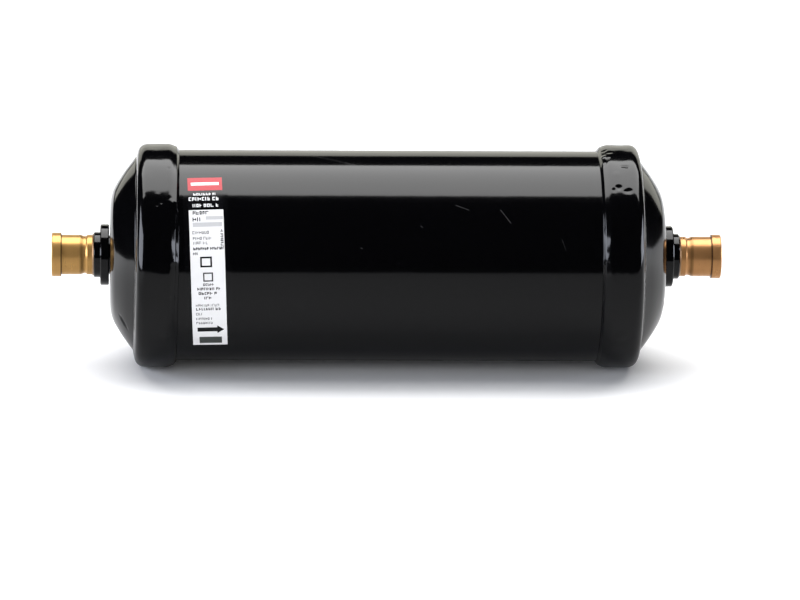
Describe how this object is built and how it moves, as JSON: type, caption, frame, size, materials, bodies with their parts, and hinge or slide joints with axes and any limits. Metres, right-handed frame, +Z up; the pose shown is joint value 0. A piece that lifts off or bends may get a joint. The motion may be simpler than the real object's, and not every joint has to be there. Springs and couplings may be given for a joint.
{
  "type": "filter drier",
  "caption": "Hermetic liquid-line filter drier: black welded steel shell with dished ends, wide seam welds, copper solder stubs and a spring-loaded desiccant block inside.",
  "frame": {"origin": "middle of the shell, on its axis", "axes": "+X along the flow, from the inlet stub to the outlet stub; +Z up; the label faces -Y"},
  "size_m": [0.2424, 0.0816, 0.0816],
  "materials": {
    "black_paint": "gloss",
    "bare_steel": "satin",
    "copper": "satin",
    "braze": "satin",
    "spring_steel": "satin",
    "felt": "matte",
    "desiccant": "matte",
    "polyester": "matte",
    "label_film": "satin"
  },
  "bodies": {
    "root": {"shell_barrel": "black_paint", "inlet_end_cap": "black_paint", "outlet_end_cap": "black_paint", "inlet_seam_weld": "black_paint", "outlet_seam_weld": "black_paint", "inlet_boss": "black_paint", "outlet_boss": "black_paint", "inlet_boss_weld": "bare_steel", "outlet_boss_weld": "bare_steel", "inlet_solder_stub": "copper", "outlet_solder_stub": "copper", "inlet_braze_ring": "braze", "outlet_braze_ring": "braze", "core_spring": "spring_steel", "spring_plate": "bare_steel", "core_pad": "felt", "desiccant_core": "desiccant", "filter_mat": "polyester", "perforated_plate": "bare_steel", "label": "label_film"}
  },
  "joints": []
}
